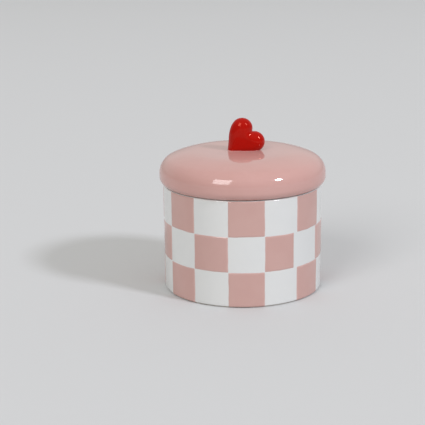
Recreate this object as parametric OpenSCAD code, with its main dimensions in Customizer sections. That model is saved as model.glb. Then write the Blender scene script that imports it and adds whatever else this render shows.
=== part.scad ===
// Round ceramic trinket box: a painted jar with a foot ring, a hollow overhanging lid
// that drops into the mouth on a soft seal ring, and a heart luted on top as the knob.
// Millimetres. Z points up and the jar stands on Z = 0, centred on the Z axis.
// The heart faces -Y.

/* [Jar] */
// Outside diameter of the jar
jar_d = 95; // [80:1:130]
// Height of the jar up to its rim
jar_h = 63.5; // [50:0.5:110]
// Thickness of the side wall
wall_t = 4.2; // [3.4:0.1:6]
// Thickness of the floor
floor_t = 4.5; // [3.5:0.1:8]
// Rounding of the bottom outside edge
foot_round = 1.5; // [0.5:0.1:2.5]
// Width of the flat ring that the jar stands on
foot_w = 5; // [3:0.5:8]
// Depth of the recess inside the foot ring
recess_h = 1.6; // [1:0.1:3]
// Rounding of both edges of the rim
rim_round = 0.8; // [0.4:0.1:1.2]
// Hollow curve where wall and floor meet inside
inner_round = 6; // [3:0.5:10]

/* [Painted squares] */
// Squares round the jar, pink and white together
columns = 14; // [8:2:24]
// Rows of squares up the wall
rows = 3; // [1:1:6]
// Thickness of the second coat of glaze
coat_t = 0.25; // [0.1:0.05:0.5]
// Bare line left above and below each square
bare_line = 0.1; // [0.05:0.05:0.5]
// Angle of the first painted edge, to the right of the front
first_edge = 15.6; // [0:0.1:45]

/* [Lid] */
// How far the lid stands out past the jar wall
overhang = 2.5; // [1:0.1:6]
// Thickness of the cast wall of the lid
lid_t = 4; // [3:0.1:5]
// Roll of the lower edge of the lid
lip_round = 4.9; // [4.6:0.1:6]
// Height of the upright band between the roll and the shoulder
band_h = 2.1; // [0.5:0.1:12]
// Radius of the shoulder
shoulder_round = 10.4; // [7:0.1:14]
// Radius of the flatter haunch above the shoulder
haunch_round = 46; // [30:1:60]
// Slope where the shoulder runs into the haunch
shoulder_slope = 23; // [15:1:30]
// Slope where the haunch runs into the crown
haunch_slope = 3; // [3:1:8]
// Width of the flat left on the crown round the foot of the knob
seat_margin = 6; // [1:0.5:8]

/* [Spigot and seal] */
// Depth of the spigot below the rim
spigot_h = 9; // [8:0.5:14]
// Height of the seal ring
seal_h = 5; // [3:0.1:5.5]
// Thickness of the seal ring to the tips of its lips
seal_t = 2; // [1.5:0.1:2.5]
// Lips round the seal ring
seal_lips = 3; // [2:1:4]
// Depth of the groove that keeps the ring on the spigot
groove_t = 0.8; // [0.5:0.1:1]
// Gap between the ring and the mouth
mouth_gap = 0.3; // [0.2:0.05:0.6]
// Gap between the ring and the groove, at its back and above it
groove_gap = 0.2; // [0.15:0.05:0.4]

/* [Heart knob] */
// Radius of each lobe of the heart
lobe_r = 6.2; // [5:0.1:7.4]
// Distance between the centres of the lobes
lobe_gap = 10.9; // [9:0.1:11.5]
// Distance from the line of the lobes to the centre of the tip's round
tip_drop = 14.7; // [13:0.1:17]
// Radius of the round at the tip
tip_round = 1.5; // [1:0.1:2.5]
// Thickness of the heart at its lobes
heart_t = 10; // [7:0.1:11]
// Thickness of the heart at its tip
tip_t = 7; // [5:0.1:8]
// Width of the rounded edge of the heart
edge_round = 6.2; // [3:0.1:7]
// Radius of the web that fills the cleft between the lobes
web_r = 3.2; // [2:0.1:4]
// Lean of the heart to the right
lean = 48; // [40:1:52]
// Height of the middle of the lobes above the crown of the lid
heart_rise = 9.3; // [7.5:0.1:9.5]
// Distance of the middle of the lobes to the right of the axis
heart_x = 3.6; // [2:0.1:4]
// Distance of the heart in front of the axis
heart_y = 3; // [0:0.1:4]
// Reach of the slip bead out from the foot of the heart
bead_w = 0.9; // [0.6:0.1:2]
// Height of the slip bead
bead_h = 0.5; // [0.4:0.1:1.2]

/* [Hidden] */
$fn = 96;

jar_r = jar_d/2;
mouth_r = jar_r - wall_t;
floor_z = recess_h + floor_t;
foot_in_r = jar_r - foot_round - foot_w;
column_a = 360/columns;
row_h = jar_h/rows;

seal_r = mouth_r - mouth_gap;
seal_in_r = seal_r - seal_t;
groove_r = seal_in_r - groove_gap;
spigot_r = groove_r + groove_t;
spigot_z = jar_h - spigot_h;
groove_h = seal_h + groove_gap;
groove_z = spigot_z + (spigot_h - groove_h)/2;

// Where the foot of the heart ends on the crown. On the left the straight flank runs into
// the crown, and its normal is the direction that both the lobe and the tip touch it in.
flank_run = [lobe_gap/2, -tip_drop];
flank_a = atan2(flank_run[1], flank_run[0]) - acos((lobe_r - tip_round)/norm(flank_run)) - lean;
left_lobe = [-lobe_gap/2*cos(lean), lobe_gap/2*sin(lean) + heart_rise];
foot_left = heart_x + left_lobe[0] + (left_lobe[1]*sin(flank_a) + lobe_r)/cos(flank_a);
// On the right the lower lobe is cut off by the crown
lobe_sink = heart_rise - lobe_gap/2*sin(lean);
foot_right = heart_x + lobe_gap/2*cos(lean) + sqrt(max(0, lobe_r*lobe_r - lobe_sink*lobe_sink));

lid_r = jar_r + overhang;
shoulder_c = [lid_r - shoulder_round, jar_h + lip_round + band_h];
haunch_c = shoulder_c - (haunch_round - shoulder_round)*heading(shoulder_slope);
seat_r = norm([max(-foot_left, foot_right), heart_y + tip_t/2]) + bead_w + seat_margin;
crown_round = haunch_round + (haunch_c[0] - seat_r)/sin(haunch_slope);
crown_c = haunch_c - (crown_round - haunch_round)*heading(haunch_slope);
crown_z = crown_c[1] + crown_round;

// Unit vector that stands square to a surface of the given slope
function heading(slope) = [sin(slope), cos(slope)];

// Points of an arc about c, from angle a0 to a1 in n steps
function arc(c, r, a0, a1, n) =
    [for (i = [0:n]) c + r*[cos(a0 + (a1 - a0)*i/n), sin(a0 + (a1 - a0)*i/n)]];

// Half section of the jar, from under the floor out, up, over the rim and back inside
jar_path = concat(
    [[0, recess_h], [foot_in_r - recess_h, recess_h], [foot_in_r, 0]],
    arc([jar_r - foot_round, foot_round], foot_round, -90, 0, 5),
    arc([jar_r - rim_round, jar_h - rim_round], rim_round, 0, 90, 4),
    arc([mouth_r + rim_round, jar_h - rim_round], rim_round, 90, 180, 4),
    arc([mouth_r - inner_round, floor_z + inner_round], inner_round, 0, -90, 8),
    [[0, floor_z]]);

// Half section of the lid's skin, set in by t from the outside, from its seat up to the axis
function lid_skin(t) =
    let (roll = max(lip_round - t, 0.5))
    concat(
        arc([lid_r - t - roll, jar_h + t + roll], roll, -90, 0, 6),
        arc(shoulder_c, shoulder_round - t, 0, 90 - shoulder_slope, 8),
        arc(haunch_c, haunch_round - t, 90 - shoulder_slope, 90 - haunch_slope, 8),
        arc(crown_c, crown_round - t, 90 - haunch_slope, 90, 4),
        [[0, crown_z - t]]);

// Points of a path taken from its last to its first
function backwards(path) = [for (i = [len(path) - 1:-1:0]) path[i]];

lid_path = concat(
    [[spigot_r - lid_t, spigot_z], [spigot_r, spigot_z], [spigot_r, jar_h]],
    lid_skin(0),
    backwards(lid_skin(lid_t)),
    [[spigot_r - lid_t, jar_h + lid_t]]);

// Half section of the seal ring: a thin band whose lips slope up to meet the mouth
lip_pitch = seal_h/seal_lips;
band_r = seal_in_r + seal_t/2;
seal_path = concat(
    [[seal_in_r, groove_z]],
    [for (i = [0:seal_lips - 1], p = [[band_r, 0], [seal_r, 0.5], [seal_r, 0.7], [band_r, 0.9]])
        [p[0], groove_z + (i + p[1])*lip_pitch]],
    [[band_r, groove_z + seal_h], [seal_in_r, groove_z + seal_h]]);

// A flat disc of radius r and thickness t with an evenly rounded edge
module pebble(r, t) {
    edge = min(edge_round, r);
    rim = [for (i = [-3:3]) [r - edge + edge*cos(30*i), t/2*sin(30*i)]];
    rotate_extrude($fn = 32) polygon(concat([[0, -t/2]], rim, [[0, t/2]]));
}

// The half of the heart on one side of its middle line: a lobe, the web and the tip
module heart_half(side) {
    hull() {
        translate([side*lobe_gap/2, 0, 0]) pebble(lobe_r, heart_t);
        pebble(web_r, heart_t);
        translate([0, -tip_drop, 0]) pebble(tip_round, tip_t);
    }
}

// The whole heart, leaning and facing front, before its foot is cut flat
module heart_form() {
    translate([heart_x, -heart_y, crown_z + heart_rise])
        rotate([90, 0, 0]) rotate(-lean) {
            heart_half(-1);
            heart_half(1);
        }
}

// The pot, thrown or cast in one piece
module jar_body() {
    color("white") rotate_extrude() polygon(jar_path);
}

// Pink squares, every other one of a check, standing proud of the wall by the coat
module pink_squares() {
    color("rosybrown")
        for (row = [0:rows - 1], pair = [0:columns/2 - 1]) {
            low = max(row*row_h + bare_line, foot_round);
            high = min((row + 1)*row_h - bare_line, jar_h - rim_round);
            rotate(first_edge - 90 + (2*pair + (rows - row)%2)*column_a)
                rotate_extrude(angle = column_a)
                    translate([jar_r, low]) square([coat_t, high - low]);
        }
}

// Clear soft ring in the spigot's groove
module seal_ring() {
    color("lightgray") rotate_extrude() polygon(seal_path);
}

// Hollow lid with its spigot and the groove for the ring
module lid() {
    color("lightpink") rotate_extrude() difference() {
        polygon(lid_path);
        translate([groove_r, groove_z]) square([groove_t + 1, groove_h]);
    }
}

// Heart with its foot cut flat to stand on the crown
module heart_knob() {
    color("firebrick") difference() {
        heart_form();
        translate([-lid_r, -lid_r, crown_z - 2*lid_r]) cube(2*lid_r);
    }
}

// Fillet of slip round the foot of the heart, with straight sides and round ends
module knob_bead() {
    low_r = tip_t/2 + bead_w;
    top_r = low_r - bead_h;
    ends = [foot_left + tip_t/2, foot_right - tip_t/2];
    color("pink") difference() {
        translate([0, -heart_y, crown_z]) {
            for (x = ends) translate([x, 0, 0]) cylinder(h = bead_h, r1 = low_r, r2 = top_r);
            translate([ends[0], 0, 0]) rotate([90, 0, 90]) linear_extrude(ends[1] - ends[0])
                polygon([[-low_r, 0], [low_r, 0], [top_r, bead_h], [-top_r, bead_h]]);
        }
        heart_form();
    }
}

jar_body();
pink_squares();
seal_ring();
lid();
heart_knob();
knob_bead();
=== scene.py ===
# %% [markdown]
# # A round trinket box with a painted check and a heart for a knob
# The real box is slip-cast stoneware: a straight-sided pot, a hollow lid that overhangs it, and a
# small heart pressed in a mould and luted on top with slip. The pot is glazed white, and every
# other square of a check is then painted over it in pink. The CAD frame gives every size and says
# what moves. This lesson gives each piece its finished surface, and leaves all the places where the
# frame puts them.

# %% Load the frame
import math
from functools import partial

import bmesh
import bpy
import numpy as np
from mathutils import Matrix, Vector, noise


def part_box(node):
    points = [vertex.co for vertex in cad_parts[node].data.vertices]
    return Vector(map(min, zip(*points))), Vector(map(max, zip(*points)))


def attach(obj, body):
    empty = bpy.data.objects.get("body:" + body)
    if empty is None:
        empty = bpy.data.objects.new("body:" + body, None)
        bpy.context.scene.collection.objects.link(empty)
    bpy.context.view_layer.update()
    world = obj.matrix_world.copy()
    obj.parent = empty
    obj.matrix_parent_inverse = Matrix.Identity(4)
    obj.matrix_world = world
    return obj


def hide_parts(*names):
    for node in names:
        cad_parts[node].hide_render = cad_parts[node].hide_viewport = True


MM = 0.001
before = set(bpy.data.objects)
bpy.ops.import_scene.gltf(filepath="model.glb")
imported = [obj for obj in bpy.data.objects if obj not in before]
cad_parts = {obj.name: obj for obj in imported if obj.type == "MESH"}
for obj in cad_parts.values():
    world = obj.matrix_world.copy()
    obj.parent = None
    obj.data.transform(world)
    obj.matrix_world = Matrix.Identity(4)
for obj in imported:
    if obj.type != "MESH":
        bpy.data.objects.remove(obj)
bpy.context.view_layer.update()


def reach(node):
    """Largest distance of a CAD node from the box's axis."""
    return max(math.hypot(v.co.x, v.co.y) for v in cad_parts[node].data.vertices)


jar_r = reach("jar_body")
jar_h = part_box("jar_body")[1].z
lid_r = reach("lid")
spigot_z, crown_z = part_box("lid")[0].z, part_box("lid")[1].z
print(f"jar {2 * jar_r / MM:.1f} across and {jar_h / MM:.1f} tall, lid {2 * lid_r / MM:.1f} across")

# %% [markdown]
# ## Where the eye stands
# The box is looked at from a little above its lid, from about seven box widths away, so the check
# hardly narrows towards its foot. A long lens from far off keeps a round lid looking round. The
# camera is built from three plain angles, and its distance and height are counted in jar radii.

# %% Camera
camera_back = 14 * jar_r
camera_up = 4.634 * jar_r
turn_left, tilt_down, roll = (math.radians(a) for a in (1.573, 14.775, -0.625))

camera_data = bpy.data.cameras.new("studio_camera")
camera_data.sensor_width = 36
camera_data.lens = 95.85
camera_data.clip_end = 100
camera = bpy.data.objects.new("studio_camera", camera_data)
camera.matrix_world = (
    Matrix.Translation((0, -camera_back, camera_up))
    @ Matrix.Rotation(turn_left, 4, "Z")
    @ Matrix.Rotation(math.pi / 2 - tilt_down, 4, "X")
    @ Matrix.Rotation(roll, 4, "Z")
)
bpy.context.scene.collection.objects.link(camera)
bpy.context.scene.camera = camera
print(f"camera {camera_back:.3f} m in front and {camera_up:.3f} m up")

# %% [markdown]
# ## Small tools for node trees
# Every tree below is built in code. These helpers add a node, set its inputs and join them in one
# call, so that each tree reads as a list of steps.


# %% Node helpers
def add(tree, kind, inputs=None, **settings):
    """A new node. Inputs are values or the sockets they are joined to, by name or by place."""
    node = tree.nodes.new(kind)
    for key, value in settings.items():
        setattr(node, key, value)
    for key, value in (inputs or {}).items():
        if isinstance(value, bpy.types.NodeSocket):
            tree.links.new(value, node.inputs[key])
        else:
            node.inputs[key].default_value = value
    return node


def calc(tree, operation, *values, clamp=False):
    """The result of one step of arithmetic."""
    node = add(tree, "ShaderNodeMath", dict(enumerate(values)), operation=operation)
    node.use_clamp = clamp
    return node.outputs[0]


def remap(tree, value, low, high, to_low=0.0, to_high=1.0, smooth=False):
    """Value stretched from one range to another and held at its ends."""
    ranges = {"Value": value, "From Min": low, "From Max": high, "To Min": to_low, "To Max": to_high}
    kind = "SMOOTHSTEP" if smooth else "LINEAR"
    return add(tree, "ShaderNodeMapRange", ranges, interpolation_type=kind).outputs[0]


def blend_colour(tree, amount, first, second):
    """Colour between two others."""
    node = tree.nodes.new("ShaderNodeMix")
    node.data_type = "RGBA"
    sockets = {s.identifier: s for s in node.inputs}
    for key, value in (("Factor_Float", amount), ("A_Color", first), ("B_Color", second)):
        if isinstance(value, bpy.types.NodeSocket):
            tree.links.new(value, sockets[key])
        else:
            sockets[key].default_value = value
    return next(s for s in node.outputs if s.identifier == "Result_Color")


def new_group(name, kind, inputs, outputs):
    """A node group with named sockets. Each input is a name, a socket type and its usual value."""
    tree = bpy.data.node_groups.new(name, kind)
    for label, socket, value in inputs:
        made = tree.interface.new_socket(label, in_out="INPUT", socket_type=f"NodeSocket{socket}")
        if value is not None:
            made.default_value = value
    for label, socket in outputs:
        tree.interface.new_socket(label, in_out="OUTPUT", socket_type=f"NodeSocket{socket}")
    return tree, tree.nodes.new("NodeGroupInput").outputs, tree.nodes.new("NodeGroupOutput").inputs


def use_group(tree, group, inputs):
    """A group placed in a tree with its own values."""
    return add(tree, "ShaderNodeGroup", inputs, node_tree=group).outputs


def new_material(name):
    """A new material, its node tree and the Principled shader in it."""
    material = bpy.data.materials.new(name)
    material.use_nodes = True
    return material, material.node_tree, material.node_tree.nodes["Principled BSDF"]


def emboss(tree, shader, height):
    """Lets the light see a height, in metres, on the surface."""
    bump = add(tree, "ShaderNodeBump", {"Height": height, "Distance": 1.0, "Strength": 1.0})
    tree.links.new(bump.outputs["Normal"], shader.inputs["Normal"])


# %% [markdown]
# ## A table of light
# Glazed ware shows its studio: each lamp is a bright patch on the shoulder of the lid. Here a small
# cool softbox stands to the right and throws the long shadow, and a wide dim one fills from the
# left front. The room has a bright ceiling and a bright far wall, which whitens the top of the lid,
# and is dimmer behind the eye, which keeps the red of the heart deep. Colours are shown without a
# film curve, so that a glaze shows its own colour.

# %% Floor, walls and lamps
LAMP_DISTANCE = 12.0
bpy.context.scene.view_settings.view_transform = "Standard"


def plain_material(name, colour, roughness):
    """One colour and one roughness all over."""
    material, _, shader = new_material(name)
    shader.inputs["Base Color"].default_value = (*colour, 1)
    shader.inputs["Roughness"].default_value = roughness
    return material


def softbox(name, azimuth, elevation, wide, tall, radiance, colour=(1, 1, 1), roll=0.0):
    """A rectangular lamp that looks at the box. Its angles and its size, as the box sees it, are in
    degrees. Azimuth is counted from -Y towards +X."""
    azimuth, elevation = math.radians(azimuth), math.radians(elevation)
    target = Vector((0, 0, jar_h))
    away = Vector((math.sin(azimuth) * math.cos(elevation),
                   -math.cos(azimuth) * math.cos(elevation), math.sin(elevation)))
    data = bpy.data.lights.new(name, "AREA")
    data.shape = "RECTANGLE"
    data.size = 2 * LAMP_DISTANCE * math.tan(math.radians(wide / 2))
    data.size_y = 2 * LAMP_DISTANCE * math.tan(math.radians(tall / 2))
    data.energy = math.pi * data.size * data.size_y * radiance
    data.color = colour
    lamp = bpy.data.objects.new(name, data)
    aim = away.to_track_quat("Z", "Y").to_matrix().to_4x4()
    lamp.matrix_world = (Matrix.Translation(target + LAMP_DISTANCE * away) @ aim
                         @ Matrix.Rotation(math.radians(roll), 4, "Z"))
    bpy.context.scene.collection.objects.link(lamp)
    return lamp


floor_half = 30.0
floor_mesh = bpy.data.meshes.new("floor")
floor_mesh.from_pydata([(-floor_half, -floor_half, 0), (floor_half, -floor_half, 0),
                        (floor_half, floor_half, 0), (-floor_half, floor_half, 0)], [], [(0, 1, 2, 3)])
floor = bpy.data.objects.new("floor", floor_mesh)
floor.data.materials.append(plain_material("floor_paper", (0.64, 0.64, 0.64), 0.9))
bpy.context.scene.collection.objects.link(floor)

softbox("key_softbox", 57, 35.5, 8.5, 6.5, 90, colour=(0.88, 0.91, 1.0), roll=20)
softbox("fill_softbox", -31, 34, 22.5, 29, 5.6)

# How bright the room is overhead, on its far wall and everywhere else. Down at the floor the far wall
# keeps only its last share, so that the horizon stays faint.
ceiling, far_wall, least, low_down = 0.56, 0.72, 0.33, 0.62
world = bpy.data.worlds.new("pale_room")
world.use_nodes = True
sky = world.node_tree
looked_at = add(sky, "ShaderNodeTexCoord").outputs["Generated"]
direction = add(sky, "ShaderNodeSeparateXYZ", {0: looked_at}).outputs
above = remap(sky, direction["Z"], 0.30, 0.70, least, ceiling, smooth=True)
behind = remap(sky, direction["Y"], -0.10, 0.80, least, far_wall, smooth=True)
dimmed = remap(sky, direction["Z"], 0.0, 0.25, low_down, 1.0, smooth=True)
behind = calc(sky, "MULTIPLY", behind, dimmed)
room = sky.nodes["Background"]
room.inputs["Color"].default_value = (1.0, 1.0, 0.98, 1)
sky.links.new(calc(sky, "MAXIMUM", above, behind), room.inputs["Strength"])
bpy.context.scene.world = world

# %% [markdown]
# ## What a glaze does
# A glaze is a coat of glass a third of a millimetre thick. It runs while it is molten, so its
# colour is deep where it pools and pale where it drew thin, its surface undulates by a few microns,
# and here and there a bubble left a pinhole or a grain of iron a speck. Three groups make those
# effects for every glaze here.

# %% Glaze groups
colour_pool, entry, exit_ = new_group(
    "glaze_pooling", "ShaderNodeTree",
    [("Vector", "Vector", None), ("Colour", "Color", None), ("Deep Colour", "Color", None),
     ("Scale", "Float", 60.0), ("Amount", "Float", 0.5)],
    [("Colour", "Color")])
broad = add(colour_pool, "ShaderNodeTexNoise", {"Vector": entry["Vector"], "Scale": entry["Scale"],
                                                "Detail": 3.0, "Roughness": 0.55}).outputs["Fac"]
pooled = remap(colour_pool, broad, 0.35, 0.72, smooth=True)
pooled = calc(colour_pool, "MULTIPLY", pooled, entry["Amount"])
pooled = blend_colour(colour_pool, pooled, entry["Colour"], entry["Deep Colour"])
colour_pool.links.new(pooled, exit_["Colour"])

glaze_surface, entry, exit_ = new_group(
    "glaze_surface", "ShaderNodeTree",
    [("Vector", "Vector", None), ("Wave Size", "Float", 0.012), ("Wave Height", "Float", 0.00003),
     ("Peel Height", "Float", 0.000002), ("Gloss", "Float", 0.08), ("Gloss Change", "Float", 0.05)],
    [("Height", "Float"), ("Roughness", "Float")])
wave_scale = calc(glaze_surface, "DIVIDE", 1.0, entry["Wave Size"])
waves = add(glaze_surface, "ShaderNodeTexNoise", {"Vector": entry["Vector"], "Scale": wave_scale,
                                                  "Detail": 1.5, "Roughness": 0.4}).outputs["Fac"]
peel = add(glaze_surface, "ShaderNodeTexNoise", {"Vector": entry["Vector"], "Scale": 1400.0,
                                                 "Detail": 1.0}).outputs["Fac"]
smears = add(glaze_surface, "ShaderNodeTexNoise", {"Vector": entry["Vector"], "Scale": 90.0,
                                                   "Detail": 4.0, "Roughness": 0.65}).outputs["Fac"]
rise = calc(glaze_surface, "MULTIPLY", waves, entry["Wave Height"])
rise = calc(glaze_surface, "MULTIPLY_ADD", peel, entry["Peel Height"], rise)
glaze_surface.links.new(rise, exit_["Height"])
smeared = remap(glaze_surface, smears, 0.45, 0.75)
smeared = calc(glaze_surface, "MULTIPLY_ADD", smeared, entry["Gloss Change"], entry["Gloss"])
glaze_surface.links.new(smeared, exit_["Roughness"])

spots, entry, exit_ = new_group(
    "glaze_spots", "ShaderNodeTree",
    [("Vector", "Vector", None), ("Spacing", "Float", 0.006), ("Size", "Float", 0.00012),
     ("Share", "Float", 0.3)],
    [("Mask", "Float")])
cells = add(spots, "ShaderNodeTexVoronoi", {"Vector": entry["Vector"],
                                            "Scale": calc(spots, "DIVIDE", 1.0, entry["Spacing"])})
chosen = calc(spots, "LESS_THAN", add(spots, "ShaderNodeSeparateColor",
                                      {0: cells.outputs["Color"]}).outputs[0], entry["Share"])
spot_size = calc(spots, "DIVIDE", entry["Size"], entry["Spacing"])
inside = remap(spots, cells.outputs["Distance"], spot_size, calc(spots, "MULTIPLY", spot_size, 0.5))
spots.links.new(calc(spots, "MULTIPLY", inside, chosen), exit_["Mask"])
print("glaze groups:", [g.name for g in (colour_pool, glaze_surface, spots)])

# %% [markdown]
# ## Glazed and bare clay in one skin
# Glaze is wiped off where a piece stands in the kiln, or it would weld itself to the shelf. That
# leaves a matte ring of bare clay under the jar and under the spigot of the lid. The outline of
# each turned piece carries a number called `bare`, and its material passes from glaze to clay where
# that number rises.


# %% Ceramic material
IRON = {"Spacing": 7 * MM, "Size": 0.16 * MM}
PINHOLES = {"Spacing": 4.5 * MM, "Size": 0.1 * MM, "Share": 0.2}
IRON_BROWN, PALE_CLAY = (0.20, 0.12, 0.07), (0.62, 0.57, 0.50)
DARK_CLAY = tuple(0.72 * c for c in PALE_CLAY)
PINHOLE_DEPTH, GRIT_HEIGHT, BARE_ROUGHNESS = 0.04 * MM, 0.05 * MM, 0.75


def bare_clay(tree, place):
    """The colour of stained clay, and how high its grit stands from 0 to 1."""
    grit = add(tree, "ShaderNodeTexNoise", {"Vector": place, "Scale": 2600.0, "Detail": 3.0})
    stain = add(tree, "ShaderNodeTexNoise", {"Vector": place, "Scale": 70.0, "Detail": 4.0})
    stained = remap(tree, stain.outputs["Fac"], 0.35, 0.7)
    return blend_colour(tree, stained, (*PALE_CLAY, 1), (*DARK_CLAY, 1)), grit.outputs["Fac"]


def ceramic(name, colour, deep, specks, pool_size=20 * MM, gloss=0.07, rim_colour=None):
    """A glaze over clay. `rim_colour` is where the coat draws thin, on the attribute `thin`."""
    material, tree, shader = new_material(name)
    place = add(tree, "ShaderNodeTexCoord").outputs["Object"]
    skin = use_group(tree, colour_pool, {"Vector": place, "Scale": 1 / pool_size, "Amount": 0.5,
                                         "Colour": (*colour, 1), "Deep Colour": (*deep, 1)})["Colour"]
    if rim_colour:
        thin = add(tree, "ShaderNodeAttribute", attribute_name="thin").outputs["Fac"]
        skin = blend_colour(tree, thin, skin, (*rim_colour, 1))
    iron = use_group(tree, spots, {"Vector": place, "Share": specks, **IRON})["Mask"]
    skin = blend_colour(tree, calc(tree, "MULTIPLY", iron, 0.6), skin, (*IRON_BROWN, 1))
    surface = use_group(tree, glaze_surface, {"Vector": place, "Gloss": gloss})
    pinholes = use_group(tree, spots, {"Vector": place, **PINHOLES})["Mask"]

    bare = add(tree, "ShaderNodeAttribute", attribute_name="bare").outputs["Fac"]
    clay, grit = bare_clay(tree, place)
    tree.links.new(blend_colour(tree, bare, skin, clay), shader.inputs["Base Color"])
    rough = calc(tree, "MULTIPLY_ADD", bare, BARE_ROUGHNESS, surface["Roughness"], clamp=True)
    tree.links.new(rough, shader.inputs["Roughness"])
    glass = calc(tree, "MULTIPLY_ADD", pinholes, -PINHOLE_DEPTH, surface["Height"])
    grain = calc(tree, "MULTIPLY", calc(tree, "MULTIPLY", grit, bare), GRIT_HEIGHT)
    emboss(tree, shader, calc(tree, "ADD", glass, grain))
    shader.inputs["IOR"].default_value = 1.57
    return material


# %% [markdown]
# ## Five glazes
# The colours are plain values, and the glaze on one box is one recipe in five colours. Red is the
# hard one: a deep red has almost no green or blue in it, so a white reflection shows on it as a
# milky veil. The heart's own glaze is glossier, and its reflection is tinted, which keeps the red
# deep.

# %% Glazes of this box
white_glaze = ceramic("white_glaze", (0.71, 0.71, 0.695), (0.68, 0.685, 0.68), specks=0.1)
lid_pink_glaze = ceramic("lid_pink_glaze", (0.60, 0.345, 0.312), (0.57, 0.315, 0.28), specks=0.08)
square_pink_glaze = ceramic("square_pink_glaze", (0.575, 0.355, 0.318), (0.545, 0.32, 0.285),
                            specks=0.06, rim_colour=(0.62, 0.41, 0.375))
heart_red_glaze = ceramic("heart_red_glaze", (0.43, 0.004, 0.002), (0.36, 0.003, 0.001), specks=0.0,
                          gloss=0.02, pool_size=12 * MM)
bead_glaze = ceramic("bead_glaze", (0.62, 0.30, 0.27), (0.52, 0.20, 0.18), specks=0.0, pool_size=4 * MM)
heart_shader = heart_red_glaze.node_tree.nodes["Principled BSDF"]
heart_shader.inputs["Specular Tint"].default_value = (1.0, 0.32, 0.22, 1)
heart_shader.inputs["IOR"].default_value = 1.52
print("glazes:", [m.name for m in bpy.data.materials if "glaze" in m.name])

# %% [markdown]
# ## A wheel made of nodes
# The jar, the lid and the seal ring are all turned: one outline carried round the axis. The tree
# below is the wheel. It takes the outline as a string of edges, makes it a curve, sweeps it along a
# small circle and merges what meets on the axis, so the poles are closed. The outline's own numbers
# ride along.

# %% The wheel
WHEEL_R = 0.001

wheel, entry, exit_ = new_group(
    "turning_wheel", "GeometryNodeTree",
    [("Outline", "Geometry", None), ("Steps", "Int", 256), ("Material", "Material", None)],
    [("Piece", "Geometry")])
string = add(wheel, "GeometryNodeMeshToCurve", {"Mesh": entry["Outline"]}).outputs[0]
path = add(wheel, "GeometryNodeCurvePrimitiveCircle", {"Resolution": entry["Steps"], "Radius": WHEEL_R})
swept = add(wheel, "GeometryNodeCurveToMesh", {"Curve": path.outputs["Curve"], "Profile Curve": string})
closed = add(wheel, "GeometryNodeMergeByDistance", {"Geometry": swept.outputs[0], "Distance": 1e-6})
smooth = add(wheel, "GeometryNodeSetShadeSmooth", {0: closed.outputs[0]})
real = add(wheel, "GeometryNodeRealizeInstances", {0: smooth.outputs[0]})
glazed = add(wheel, "GeometryNodeSetMaterial", {"Geometry": real.outputs[0],
                                                "Material": entry["Material"]})
wheel.links.new(glazed.outputs[0], exit_["Piece"])
print("the wheel has", len(wheel.nodes), "nodes")

# %% [markdown]
# ## Run a tree and keep its mesh
# A tree works as a modifier. What it makes is taken off as a plain mesh, and the modifier is thrown
# away with its source, so every piece is ordinary geometry in the end. A modifier knows its inputs
# by a short code and not by their names, so the code is looked up. The sign of the volume tells
# whether the faces look outwards.


# %% Run and turn
def socket_id(tree, label):
    """The code under which a modifier keeps one of the tree's inputs."""
    return next(item.identifier for item in tree.interface.items_tree
                if item.in_out == "INPUT" and item.name == label)


def run_nodes(name, start_mesh, tree, values):
    """Runs a tree on a mesh, and returns the result as a plain mesh object with no modifier."""
    source = bpy.data.objects.new(name + "_source", start_mesh)
    bpy.context.scene.collection.objects.link(source)
    modifier = source.modifiers.new("nodes", "NODES")
    modifier.node_group = tree
    for label, value in values.items():
        modifier[socket_id(tree, label)] = value
    evaluated = source.evaluated_get(bpy.context.evaluated_depsgraph_get())
    mesh = bpy.data.meshes.new_from_object(evaluated)
    bpy.data.objects.remove(source)
    mesh.name = name
    piece = bpy.data.objects.new(name, mesh)
    bpy.context.scene.collection.objects.link(piece)
    return piece


def volume_of(mesh):
    """Signed volume in cubic millimetres: negative when the faces look inwards."""
    shell = bmesh.new()
    shell.from_mesh(mesh)
    volume = shell.calc_volume(signed=True) / MM**3
    shell.free()
    return volume


def face_outwards(piece):
    """Turns a closed piece the right way out."""
    if volume_of(piece.data) < 0:
        piece.data.flip_normals()


def turn(name, outline, material, ring=False, steps=256):
    """Turns an outline of (radius, height, bare) points. A ring's outline is a closed loop."""
    count = len(outline)
    mesh = bpy.data.meshes.new(name + "_outline")
    edges = [(i, (i + 1) % count) for i in range(count if ring else count - 1)]
    mesh.from_pydata([(r - WHEEL_R, -z, 0) for r, z, _ in outline], edges, [])
    bare = mesh.attributes.new("bare", "FLOAT", "POINT")
    bare.data.foreach_set("value", [b for _, _, b in outline])
    piece = run_nodes(name, mesh, wheel, {"Steps": steps, "Material": material})
    face_outwards(piece)
    print(f"{name}: {len(piece.data.polygons)} faces, {volume_of(piece.data) / 1000:.1f} cm3")
    return piece


# %% [markdown]
# ## The jar
# A slip-cast pot of even wall. What makes it read as real ware is its edges: the foot ring is
# ground flat and bare, the glaze stops just above it in a soft roll, the recess inside the ring is
# glazed again, and the rim is round on both sides. The outline goes from under the floor, out and
# up, over the rim and back in.


# %% Jar outline
def on_arc(centre, radius, angle, bare=0.0):
    """One point of an arc in the half section, at an angle in degrees from straight out."""
    angle = math.radians(angle)
    return centre[0] + radius * math.cos(angle), centre[1] + radius * math.sin(angle), bare


def arc(centre, radius, start, end, steps, bare=0.0):
    """Points of an arc in the half section, from one angle to another."""
    return [on_arc(centre, radius, start + (end - start) * i / steps, bare) for i in range(steps + 1)]


wall_t, floor_t = 4.2 * MM, 4.5 * MM
foot_round, foot_w, recess_h = 1.5 * MM, 5.0 * MM, 1.6 * MM
rim_round, inner_round, glaze_t = 0.8 * MM, 6.0 * MM, 0.3 * MM
mouth_r = jar_r - wall_t
floor_z = recess_h + floor_t
foot_in_r = jar_r - foot_round - foot_w
foot_c = (jar_r - foot_round, foot_round)
wall_steps = 24


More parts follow.
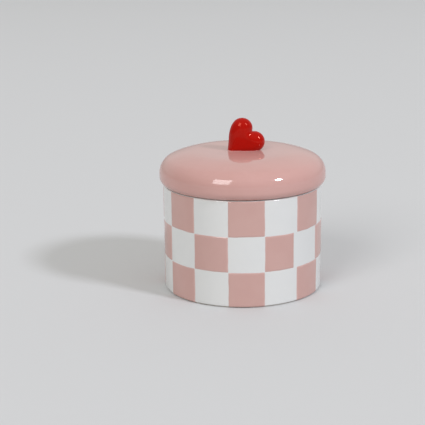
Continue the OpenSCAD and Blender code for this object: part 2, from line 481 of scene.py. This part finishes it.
def jar_foot():
    """The ground foot: bare, a glaze's thickness inside the wall, then the roll where the glaze stops."""
    clay_round = foot_round - glaze_t
    foot = [(foot_in_r - 0.2 * MM, 0.25 * MM, 1), (foot_in_r, 0.05 * MM, 1),
            (foot_in_r + 0.15 * MM, 0, 1)]
    ground = arc(foot_c, clay_round, -90, -42, 5, bare=1)
    foot += [(r, max(z - glaze_t, 0), bare) for r, z, bare in ground]
    foot += [on_arc(foot_c, clay_round, -38, bare=1), on_arc(foot_c, foot_round - 0.08 * MM, -33)]
    return foot + arc(foot_c, foot_round, -26, 0, 5)


def jar_outline():
    """The half section of the pot, from under the floor to the middle of the inside."""
    recess = [(0, recess_h, 0), (foot_in_r - 3 * recess_h, recess_h, 0)]
    recess += arc((foot_in_r - 2 * recess_h, 0.1 * recess_h), 0.9 * recess_h, 90, 25, 6)
    wall_h = jar_h - rim_round - foot_round
    wall = [(jar_r, foot_round + wall_h * i / wall_steps, 0) for i in range(1, wall_steps)]
    rim = arc((jar_r - rim_round, jar_h - rim_round), rim_round, 0, 90, 8)
    rim += arc((mouth_r + rim_round, jar_h - rim_round), rim_round, 90, 180, 8)
    inside = arc((mouth_r - inner_round, floor_z + inner_round), inner_round, 0, -90, 16)
    return recess + jar_foot() + wall + rim + inside + [(0, floor_z, 0)]


jar = turn("glazed_jar", jar_outline(), white_glaze)

# %% [markdown]
# ## The lid
# The lid is drain-cast: slip stands in the mould until an even skin has set on the plaster, and the
# rest is poured out, so the inside follows the outside. Its section is four arcs that run into each
# other without a corner: the roll under the edge, the shoulder, the flatter haunch and the shallow
# crown.

# %% Lid outline
lid_t = 4.0 * MM
lip_round, band_h = 4.9 * MM, 2.1 * MM
shoulder_round, haunch_round = 10.4 * MM, 46.0 * MM
shoulder_slope, haunch_slope = 23.0, 3.0
seal_h, seal_t, groove_t, mouth_gap, groove_gap = 5.0 * MM, 2.0 * MM, 0.8 * MM, 0.3 * MM, 0.2 * MM
seal_r = mouth_r - mouth_gap
seal_in_r = seal_r - seal_t
groove_r = seal_in_r - groove_gap
spigot_r = groove_r + groove_t
groove_h = seal_h + groove_gap
groove_z = spigot_z + (jar_h - spigot_z - groove_h) / 2


def heading(slope):
    """Unit vector that stands square to a surface of the given slope."""
    return Vector((math.sin(math.radians(slope)), math.cos(math.radians(slope))))


shoulder_c = Vector((lid_r - shoulder_round, jar_h + lip_round + band_h))
haunch_c = shoulder_c - (haunch_round - shoulder_round) * heading(shoulder_slope)
haunch_top = haunch_c.y + haunch_round * heading(haunch_slope).y
crown_round = (crown_z - haunch_top) / (1 - heading(haunch_slope).y)
crown_c = haunch_c - (crown_round - haunch_round) * heading(haunch_slope)
seat_r = crown_c.x
print(f"crown radius {crown_round / MM:.1f}, flat to {seat_r / MM:.2f} round the heart")


def lid_skin(inset):
    """The skin of the lid from its axis down to its seat, set in from the outside."""
    roll = max(lip_round - inset, 0.5 * MM)
    skin = [(0, crown_z - inset, 0), (0.5 * seat_r, crown_z - inset, 0)]
    skin += arc(crown_c, crown_round - inset, 90, 90 - haunch_slope, 12)
    skin += arc(haunch_c, haunch_round - inset, 90 - haunch_slope, 90 - shoulder_slope, 16)[1:]
    skin += arc(shoulder_c, shoulder_round - inset, 90 - shoulder_slope, 0, 28)[1:]
    return skin + arc((lid_r - inset - roll, jar_h + inset + roll), roll, 0, -90, 16)


def lid_outline():
    """The half section of the hollow lid: outside, groove, spigot's foot, throat and inside."""
    edge = 0.4 * MM
    outside = lid_skin(0) + [(spigot_r + edge, jar_h, 0)]
    outside += arc((spigot_r + edge, jar_h - edge), edge, 90, 180, 4)
    groove = [(spigot_r, groove_z + groove_h, 0), (groove_r, groove_z + groove_h, 0),
              (groove_r, groove_z, 0), (spigot_r, groove_z, 0)]
    foot = arc((spigot_r - edge, spigot_z + edge), edge, 0, -90, 4, bare=1)
    spigot_in = spigot_r - lid_t
    foot += arc((spigot_in + edge, spigot_z + edge), edge, -90, -180, 4, bare=1)
    throat = [(spigot_in, spigot_z + 2 * edge, 0), (spigot_in, jar_h, 0)]
    throat += arc((spigot_in + lid_t / 2, jar_h + lid_t / 2), lid_t / 2, 180, 90, 8)
    return outside + groove + foot + throat + lid_skin(lid_t)[::-1]


lid = turn("glazed_lid", lid_outline(), lid_pink_glaze)

# %% [markdown]
# ## The seal ring
# A fired lid can't be ground to fit a fired pot, so a soft ring of milky silicone takes up the
# play. Three thin lips slope upwards: they fold on the way in and drag on the way out, which holds
# the lid. The ring is hidden while the box is shut, and lies bare round the spigot when the lid is
# lifted.

# %% Seal ring
def silicone(name):
    """Cloudy and waxy: a little light goes in and comes out near by."""
    material, tree, shader = new_material(name)
    place = add(tree, "ShaderNodeTexCoord").outputs["Object"]
    cloud = use_group(tree, colour_pool, {"Vector": place, "Colour": (0.78, 0.79, 0.78, 1),
                                          "Deep Colour": (0.66, 0.68, 0.68, 1), "Scale": 120.0})
    skin = use_group(tree, glaze_surface, {"Vector": place, "Gloss": 0.32, "Gloss Change": 0.15,
                                           "Wave Height": 0.01 * MM})
    tree.links.new(cloud["Colour"], shader.inputs["Base Color"])
    tree.links.new(skin["Roughness"], shader.inputs["Roughness"])
    emboss(tree, shader, skin["Height"])
    shader.inputs["Subsurface Weight"].default_value = 0.5
    shader.inputs["Subsurface Radius"].default_value = (2 * MM, 2 * MM, 2 * MM)
    shader.inputs["Subsurface Scale"].default_value = 1.0
    return material


seal_lips = 3
lip_pitch = seal_h / seal_lips
band_r = seal_in_r + seal_t / 2
lip_tip = 0.18 * MM


def seal_outline():
    """The closed section of the ring: a thin band with one lip above another."""
    corner = 0.25 * MM
    loop = arc((seal_in_r + corner, groove_z + corner), corner, 180, 270, 4)
    for lip in range(seal_lips):
        low = groove_z + lip * lip_pitch
        loop += [(band_r, low + 0.02 * lip_pitch, 0), (band_r + 0.1 * MM, low + 0.12 * lip_pitch, 0)]
        loop += arc((seal_r - lip_tip, low + 0.6 * lip_pitch), lip_tip, -60, 90, 5)
        loop += [(band_r + 0.08 * MM, low + 0.84 * lip_pitch, 0), (band_r, low + 0.92 * lip_pitch, 0)]
    return loop + arc((seal_in_r + corner, groove_z + seal_h - corner), corner, 90, 180, 4)


seal = turn("seal_ring_lips", seal_outline(), silicone("milky_silicone"), ring=True, steps=200)

# %% [markdown]
# ## The painted check
# After the white glaze has dried, the painter rules the pot into three bands and floods every other
# square with pink. The rule is simple: a square's place follows from its number. The hand isn't:
# the edges wander, one band slips a little against the others, and corners just run together. A
# node tree does both. It makes one tile, sets it out by number, and bends the whole check round the
# jar.

# %% Inputs of the check
check, entry, exit_ = new_group(
    "painted_check", "GeometryNodeTree",
    [("Wall", "Geometry", None), ("Columns", "Int", 14), ("Rows", "Int", 3),
     ("Jar Radius", "Float", 0.05), ("Height", "Float", 0.06),
     ("Foot Round", "Float", 0.0015), ("Rim Round", "Float", 0.0008),
     ("First Edge", "Float", 0.0), ("Coat", "Float", 0.00025),
     ("Soft Edge", "Float", 0.001), ("Overlap", "Float", 0.0002), ("Wander", "Float", 0.0002),
     ("Slip", "Float", 0.0), ("Seed", "Float", 0.0), ("Material", "Material", None)],
    [("Squares", "Geometry")])
step = partial(calc, check)


def stored(geometry, label, value):
    """Keeps a number on the points under a name."""
    return add(check, "GeometryNodeStoreNamedAttribute",
               {"Geometry": geometry, "Name": label, "Value": value}, data_type="FLOAT").outputs[0]


def recall(label):
    """A number that was kept on the points, by its name."""
    return add(check, "GeometryNodeInputNamedAttribute", {"Name": label}, data_type="FLOAT").outputs[0]


print("the check has", len(check.interface.items_tree), "sockets")

# %% [markdown]
# ## Set the tiles out by number
# One thin tile is copied to one point for each pink square. A point's number gives its row and its
# place in that row, and every other row starts one square further on, which makes the check. The
# copies are made real at once, so that each corner can be moved by itself.

# %% Tiles by number
tile_grid = 33
tile = add(check, "GeometryNodeMeshCube", {"Size": (1, 1, 1), "Vertices X": tile_grid,
                                           "Vertices Y": tile_grid, "Vertices Z": 2}).outputs["Mesh"]
pairs = step("DIVIDE", entry["Columns"], 2.0)
tile_count = step("MULTIPLY", pairs, entry["Rows"])
spread = add(check, "GeometryNodePoints", {"Count": tile_count}).outputs[0]
number = add(check, "GeometryNodeInputIndex").outputs[0]
row = step("FLOOR", step("DIVIDE", step("ADD", number, 0.5), pairs))
pair = step("SUBTRACT", number, step("MULTIPLY", row, pairs))
odd = step("MODULO", step("SUBTRACT", entry["Rows"], row), 2.0)
column = step("MULTIPLY_ADD", pair, 2.0, odd)
for label, value in (("row", row), ("odd", odd), ("column", column)):
    spread = stored(spread, label, value)
tiles = add(check, "GeometryNodeInstanceOnPoints", {"Points": spread, "Instance": tile}).outputs[0]
tiles = add(check, "GeometryNodeRealizeInstances", {0: tiles}).outputs[0]
print(f"a tile is a grid of {tile_grid} by {tile_grid} points on each face")

# %% [markdown]
# ## Where a point lies in its square
# The tile's grid is drawn close at its edges, where the coat rolls off, and stays wide in the
# middle, where nothing happens. Its place in the tile then becomes an angle round the jar and a
# height up the wall. The tiles are a little larger than their squares, so that corners run together
# as wet glaze does. On the right the middle band slips to the left against the other two, and comes
# back behind the jar.

# %% Place in the check
position = add(check, "GeometryNodeInputPosition").outputs[0]
here = add(check, "ShaderNodeSeparateXYZ", {0: position}).outputs
for axis, label in enumerate(("along", "up", "face")):
    tiles = stored(tiles, label, here[axis])


def gathered(name):
    """A place in the tile from 0 to 1, with its steps drawn close at both ends."""
    wave = step("SINE", step("MULTIPLY", recall(name), math.pi))
    return step("MULTIPLY_ADD", wave, 0.5, 0.5)


along, up = gathered("along"), gathered("up")
column_angle = step("DIVIDE", 2 * math.pi, entry["Columns"])
row_height = step("DIVIDE", entry["Height"], entry["Rows"])
column_width = step("MULTIPLY", column_angle, entry["Jar Radius"])


def widened(share, size):
    """A place in the tile, stretched about its middle so that the tile laps over its neighbours."""
    grow = step("DIVIDE", entry["Overlap"], size)
    return step("MULTIPLY_ADD", step("SUBTRACT", share, 0.5), step("ADD", grow, 1.0), 0.5)


angle = step("ADD", recall("column"), widened(along, column_width))
angle = step("MULTIPLY_ADD", angle, column_angle, entry["First Edge"])
height = step("ADD", recall("row"), widened(up, row_height))
height = step("MULTIPLY", height, row_height)

slip_starts, slip_whole, slip_fades, slip_ends = (math.radians(a) for a in (16, 40, 93, 170))
grown = remap(check, angle, slip_starts, slip_whole, smooth=True)
taken_up = remap(check, angle, slip_fades, slip_ends, 1.0, 0.0, smooth=True)
slipped = step("MULTIPLY", step("MULTIPLY", grown, taken_up), entry["Slip"])
slipped = step("MULTIPLY", slipped, step("SUBTRACT", 1.0, recall("odd")))
angle = step("ADD", angle, slipped)

# %% [markdown]
# ## Bend the tiles round the wall
# An angle, a height and a distance from the wall place a point on the jar. Near the foot and the
# rim the wall draws in, and the tile has to draw in with it. A slow noise then moves the edges a
# little, as an unsteady brush does. It is read from the bent place, so it has no seam round the
# jar.


# %% Bend and wander
def rounded_off(beyond, rounding):
    """How far a rounded edge has drawn in, at a height that lies so far beyond its start."""
    over = step("MAXIMUM", beyond, 0.0)
    over = step("DIVIDE", step("MINIMUM", over, rounding), rounding)
    flat = step("SQRT", step("SUBTRACT", 1.0, step("MULTIPLY", over, over)))
    return step("MULTIPLY", step("SUBTRACT", 1.0, flat), rounding)


def bent(turn_angle, lift, distance):
    """A point on the jar's wall. Angle nought is the front, -Y."""
    below = step("SUBTRACT", entry["Foot Round"], lift)
    above = step("SUBTRACT", lift, step("SUBTRACT", entry["Height"], entry["Rim Round"]))
    radius = step("ADD", entry["Jar Radius"], distance)
    radius = step("SUBTRACT", radius, rounded_off(below, entry["Foot Round"]))
    radius = step("SUBTRACT", radius, rounded_off(above, entry["Rim Round"]))
    out = step("MULTIPLY", radius, step("COSINE", turn_angle))
    return add(check, "ShaderNodeCombineXYZ", {0: step("MULTIPLY", radius, step("SINE", turn_angle)),
                                               1: step("MULTIPLY", out, -1.0), 2: lift}).outputs[0]


def wandered(offset):
    """The brush's wander in one direction: noise on the wall, as a distance."""
    where = add(check, "ShaderNodeVectorMath", {0: bent(angle, height, 0.0), 1: (offset, offset, offset)},
                operation="ADD").outputs[0]
    texture = add(check, "ShaderNodeTexNoise", {"Vector": where, "W": entry["Seed"], "Scale": 110.0,
                                                "Detail": 2.0}, noise_dimensions="4D").outputs["Fac"]
    return step("MULTIPLY", remap(check, texture, 0.25, 0.75, -1.0, 1.0), entry["Wander"])


side_step, rise_step = wandered(3.0), wandered(7.0)
final_angle = step("ADD", angle, step("DIVIDE", side_step, entry["Jar Radius"]))
lowest, below_rim = 0.4 * MM, 0.25 * MM
final_height = step("MAXIMUM", step("ADD", height, rise_step), lowest)
final_height = step("MINIMUM", final_height, step("SUBTRACT", entry["Height"], below_rim))

# %% [markdown]
# ## The coat of glaze
# Wet glaze draws back from its own edge, so the coat rises over the first millimetre of a square
# and is even from there on. Its edge and its back lie inside the wall: the tile is a closed solid,
# and no gap shows beside it. The number `thin` says where the coat is thin, and the glaze is paler
# there.

# %% Coat of the squares
corner_round, thin_rim, sunk = 0.6 * MM, 1.1 * MM, -0.06 * MM
sunk_back = 4 * sunk


def to_edge(share, size):
    """Distance to the nearer of two edges, from a place in the tile."""
    return step("MULTIPLY", step("MINIMUM", share, step("SUBTRACT", 1.0, share)), size)


from_edge = step("SMOOTH_MIN", to_edge(along, column_width), to_edge(up, row_height), corner_round)
full = remap(check, from_edge, 0.0, entry["Soft Edge"], smooth=True)
front = step("GREATER_THAN", recall("face"), 0.0)
coat = step("MULTIPLY_ADD", full, step("SUBTRACT", entry["Coat"], sunk), sunk)
lift_off = step("MULTIPLY_ADD", front, step("SUBTRACT", coat, sunk_back), sunk_back)
tiles = stored(tiles, "thin", step("SUBTRACT", 1.0, remap(check, from_edge, 0.0, thin_rim)))
tiles = add(check, "GeometryNodeSetPosition",
            {"Geometry": tiles, "Position": bent(final_angle, final_height, lift_off)}).outputs[0]
tiles = add(check, "GeometryNodeSetShadeSmooth", {0: tiles}).outputs[0]
tiles = add(check, "GeometryNodeSetMaterial", {"Geometry": tiles, "Material": entry["Material"]})
check.links.new(tiles.outputs[0], exit_["Squares"])
print("the check's tree has", len(check.nodes), "nodes")

# %% [markdown]
# ## Paint this jar
# The tree is run once with this jar's sizes. All the squares become one mesh, because they are one
# coat of glaze on one body. The thickness of the coat is measured from the frame.

# %% Painted squares
coat_t = reach("pink_squares") - jar_r
squares = run_nodes("painted_squares", bpy.data.meshes.new("empty_wall"), check, {
    "Columns": 14, "Rows": 3, "Jar Radius": jar_r, "Height": jar_h,
    "Foot Round": foot_round, "Rim Round": rim_round, "First Edge": math.radians(15.6),
    "Coat": coat_t, "Soft Edge": 0.9 * MM, "Overlap": 0.35 * MM, "Wander": 0.22 * MM,
    "Slip": math.radians(-2.9), "Seed": 4.0, "Material": square_pink_glaze})
face_outwards(squares)
print(f"squares: {len(squares.data.polygons)} faces, coat {coat_t / MM:.2f} mm, "
      f"{volume_of(squares.data):.0f} mm3")

# %% [markdown]
# ## The heart
# The heart is pressed solid in a two-part mould, so it is as deep as a sweet and round everywhere.
# Its outline is two uneven capsules, each from a lobe to the tip, whose flanks swell a little on
# the way. Where the capsules meet, the change from one to the other is rounded off, which makes the
# soft cleft between the lobes. It is worked out upright, and leaned over at the end.

# %% Heart outline
lobe_r, lobe_gap, tip_drop, tip_round = 6.2 * MM, 10.9 * MM, 14.7 * MM, 1.5 * MM
lean, heart_rise, heart_x = math.radians(48), 9.3 * MM, 3.6 * MM
heart_front, heart_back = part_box("heart_knob")[0].y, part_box("heart_knob")[1].y
heart_half = (heart_back - heart_front) / 2
heart_mid = Vector((heart_x, (heart_front + heart_back) / 2, crown_z + heart_rise))
heart_core = -3.0 * MM
cleft_soft, cleft_fades, belly = 0.9 * MM, 8 * MM, 0.9 * MM
belly_start, belly_high = 0.15, 0.7


def ease(value, low, high):
    """Nought below one value, one above another, and a soft passage between them."""
    share = min(max((value - low) / (high - low), 0), 1)
    return share * share * (3 - 2 * share)


def capsule_depth(x, y, side):
    """How deep a point lies inside the capsule from one lobe to the tip."""
    start, end = Vector((side * lobe_gap / 2, 0)), Vector((0, -tip_drop))
    run, local = end - start, Vector((x, y)) - start
    down = run.normalized()
    slope = (lobe_r - tip_round) / run.length
    lowered = local.dot(down) - abs(down.cross(local)) * slope / math.sqrt(1 - slope**2)
    lowered /= run.length
    share = min(max(lowered, 0), 1)
    swell = min(max((lowered + belly_start) / (1 + belly_start), 0), 1) ** belly_high
    radius = lobe_r + (tip_round - lobe_r) * share + belly * math.sin(math.pi * swell) ** 2
    return radius - (local - run * share).length


def heart_depth(x, y):
    """Depth inside the heart's outline: the deeper of its two halves, with the cleft rounded off."""
    left, right = capsule_depth(x, y, -1), capsule_depth(x, y, 1)
    near = max(cleft_soft - abs(left - right), 0) / cleft_soft
    return max(left, right) + ease(y, -cleft_fades, 0) * near**2 * cleft_soft / 4


def to_box(x, y, out):
    """A point of the upright heart, leaned over and put in its place on the lid."""
    return heart_mid + Vector((x * math.cos(lean) + y * math.sin(lean), out,
                               y * math.cos(lean) - x * math.sin(lean)))


def outline_reach(angle):
    """Distance from the heart's middle to its outline in one direction."""
    near, far = 0.0, 20 * MM
    for _ in range(40):
        middle = (near + far) / 2
        x, y = middle * math.cos(angle), heart_core + middle * math.sin(angle)
        near, far = (middle, far) if heart_depth(x, y) > 0 else (near, middle)
    return near


spokes, rings, fine = 240, 44, 960
turns = [2 * math.pi * i / fine for i in range(fine)]
outline = np.array([(outline_reach(a) * math.cos(a), heart_core + outline_reach(a) * math.sin(a))
                    for a in turns])
outline_next = np.roll(outline, -1, axis=0)
stretch = np.linalg.norm(outline_next - outline, axis=1)
stretch_mid = (outline + outline_next) / 2
print(f"outline: {stretch.sum() / MM:.1f} mm round, in {fine} steps")

# %% [markdown]
# ## How thick the heart is
# Thickness follows from how far a point lies inside the outline. Close to the edge the nearest part
# of it decides, so the edge is evenly round. Further in, depth is felt from the whole outline at
# once, as on a moulded sweet: a depth that counted only the nearest edge would leave a ridge down
# the middle.

# %% Heart thickness
pillow, fullness = 5.8 * MM, 1.8
felt_from, felt_whole = 0.2 * MM, 1.8 * MM
tip_from, tip_narrower, tip_thinner = 2 * MM, 0.45, 0.3
POWER = 6
STRAIGHT_EDGE = 16 / 15  # what a straight edge one unit away gives, so that depth is true beside an edge


def felt_depth(x, y):
    """Depth as the whole outline is felt: near parts count most, and no ridge is left in the middle."""
    away = np.hypot(stretch_mid[:, 0] - x, stretch_mid[:, 1] - y)
    return float((STRAIGHT_EDGE / np.sum(stretch / away ** (POWER + 1))) ** (1 / POWER))


def nearest_edge(x, y):
    """Distance from a point to the nearest part of the outline."""
    to_point, run = np.array((x, y)) - outline, outline_next - outline
    share = np.clip(np.sum(to_point * run, axis=1) / stretch**2, 0, 1)
    return float(np.min(np.linalg.norm(to_point - share[:, None] * run, axis=1)))


def half_thickness(x, y):
    """Half the heart's thickness. It rises from the edge nearly as an ellipse, and sooner at the tip."""
    if heart_depth(x, y) <= 0:
        return 0.0
    depth = nearest_edge(x, y)
    felt = ease(depth, felt_from, felt_whole)
    depth = depth * (1 - felt) + felt_depth(x, y) * felt
    towards_tip = ease(-y, -tip_from, tip_drop)
    inward = 1 - min(depth / (pillow * (1 - tip_narrower * towards_tip)), 1)
    return heart_half * (1 - tip_thinner * towards_tip) * (1 - inward**fullness) ** (1 / fullness)


print(f"half thickness in the middle: {half_thickness(0, heart_core) / MM:.2f} mm")

# %% [markdown]
# ## Press the heart
# Rings of points run in from the outline to the middle, close together at the edge, once for the
# front and once for the back. The foot is then cut flat a hair below the crown of the lid, so that
# no gap shows, and a slow noise of a tenth of a millimetre takes away the look of a machined part.

# %% Heart mesh
foot_sunk, unevenness, uneven_size = 0.3 * MM, 0.12 * MM, 7 * MM
heart_mesh = bmesh.new()
rim_points = outline[:: fine // spokes]
layers = {1: [], -1: []}
for side in (1, -1):
    for ring in range(rings):
        share = math.cos(math.pi / 2 * ring / rings)
        if side == -1 and ring == 0:
            layers[side].append(layers[1][0])
            continue
        places = [(share * x, heart_core + share * (y - heart_core)) for x, y in rim_points]
        layers[side].append([
            heart_mesh.verts.new(to_box(x, y, side * half_thickness(x, y) if ring else 0))
            for x, y in places])
    middle = heart_mesh.verts.new(to_box(0, heart_core, side * half_thickness(0, heart_core)))
    for outer, inner in zip(layers[side], layers[side][1:]):
        for i in range(spokes):
            heart_mesh.faces.new((outer[i - 1], outer[i], inner[i], inner[i - 1]))
    for i in range(spokes):
        heart_mesh.faces.new((layers[side][-1][i - 1], layers[side][-1][i], middle))

geometry = heart_mesh.verts[:] + heart_mesh.edges[:] + heart_mesh.faces[:]
cut = bmesh.ops.bisect_plane(heart_mesh, geom=geometry, plane_co=(0, 0, crown_z - foot_sunk),
                             plane_no=(0, 0, 1), clear_inner=True)
foot_edges = [e for e in cut["geom_cut"] if isinstance(e, bmesh.types.BMEdge)]
bmesh.ops.edgeloop_fill(heart_mesh, edges=foot_edges)
bmesh.ops.recalc_face_normals(heart_mesh, faces=heart_mesh.faces)
for vertex in heart_mesh.verts:
    clear = min(max((vertex.co.z - crown_z) / (3 * MM), 0), 1)
    vertex.co += vertex.normal * clear * noise.noise(vertex.co / uneven_size) * unevenness
for face in heart_mesh.faces:
    face.smooth = len(face.verts) < 5


def finished(name, shell, material):
    """Makes a piece of a mesh that was built point by point."""
    mesh = bpy.data.meshes.new(name)
    shell.to_mesh(mesh)
    shell.free()
    mesh.materials.append(material)
    piece = bpy.data.objects.new(name, mesh)
    bpy.context.scene.collection.objects.link(piece)
    print(f"{name}: {len(mesh.polygons)} faces, {volume_of(mesh):.1f} mm3")
    return piece


heart = finished("pressed_heart", heart_mesh, heart_red_glaze)

# %% [markdown]
# ## The bead of slip
# Two leather-hard pieces are joined with slip, and what squeezes out is wiped to a small hollow
# bead. The lid's pink glaze thickens in it. The bead is a hollow curve carried round the outline of
# the heart's foot.

# %% Foot of the heart
bead_w, bead_h, bead_sunk, under_heart = 0.8 * MM, 0.45 * MM, 0.3 * MM, 0.9 * MM


def upright(x, z):
    """Where a point of the box lies in the heart before it was leaned over."""
    right, high = x - heart_mid.x, z - heart_mid.z
    return (right * math.cos(lean) - high * math.sin(lean),
            right * math.sin(lean) + high * math.cos(lean))


def foot_end(inside_x, outside_x):
    """Where the heart's foot ends on the crown, between a point inside it and one outside."""
    for _ in range(40):
        middle = (inside_x + outside_x) / 2
        within = heart_depth(*upright(middle, crown_z)) > 0
        inside_x, outside_x = (middle, outside_x) if within else (inside_x, middle)
    return inside_x


foot_left, foot_right = foot_end(0, -20 * MM), foot_end(5 * MM, 30 * MM)
half_steps = 90
front_edge = []
for i in range(half_steps + 1):
    x = (foot_left + foot_right) / 2 - (foot_right - foot_left) / 2 * math.cos(math.pi * i / half_steps)
    front_edge.append(Vector((x, heart_mid.y - half_thickness(*upright(x, crown_z)))))
foot_loop = front_edge + [Vector((p.x, 2 * heart_mid.y - p.y)) for p in front_edge[-2:0:-1]]
count = len(foot_loop)
print(f"foot from {foot_left / MM:.2f} to {foot_right / MM:.2f} mm, {count} points round it")

# %% [markdown]
# ## Carry the bead round the foot
# The bead's section has its hollow outside, between the lid and the heart, and its back and its
# underside are hidden in the two pieces. Its width changes slowly on the way round, as it does when
# slip is wiped with a finger.

# %% Bead
bead_profile = [(-under_heart, -bead_sunk), (-under_heart, bead_h)]
for i in range(9):
    turned = math.pi / 2 * i / 8
    bead_profile.append((bead_w * (1 - math.cos(turned)), bead_h * (1 - math.sin(turned))))
bead_profile.append((bead_w, -bead_sunk))
bead_mesh = bmesh.new()
bead_rows = []
for i, point in enumerate(foot_loop):
    run = foot_loop[(i + 2) % count] - foot_loop[i - 2]
    outward = Vector((run.y, -run.x)).normalized()
    width = 0.85 + 0.25 * noise.noise(Vector((*point, 0)) / (4 * MM))
    bead_rows.append([
        bead_mesh.verts.new((*(point + outward * out * width), crown_z + rise * width))
        for out, rise in bead_profile])
for i in range(count):
    for j in range(len(bead_profile)):
        bead_mesh.faces.new((bead_rows[i - 1][j - 1], bead_rows[i - 1][j],
                             bead_rows[i][j], bead_rows[i][j - 1]))
bmesh.ops.recalc_face_normals(bead_mesh, faces=bead_mesh.faces)
for face in bead_mesh.faces:
    face.smooth = True
bead = finished("slip_bead", bead_mesh, bead_glaze)

# %% [markdown]
# ## Put each piece on its body
# The jar stands still with its squares. The ring rises with the lid, and the lid also turns on it,
# carrying the heart and its bead. Each finished piece stands in for the CAD node of the same shape.

# %% Bodies and nodes
for piece, body, node, slot in (
        (jar, "jar", "jar_body", "white_glaze"),
        (squares, "jar", "pink_squares", "pink_glaze"),
        (seal, "seal", "seal_ring", "clear_silicone"),
        (lid, "lid", "lid", "lid_glaze"),
        (heart, "lid", "heart_knob", "red_glaze"),
        (bead, "lid", "knob_bead", "slip_bead")):
    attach(piece, body)
    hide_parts(node)
    print(f"{piece.name} stands for {node} on {body}")
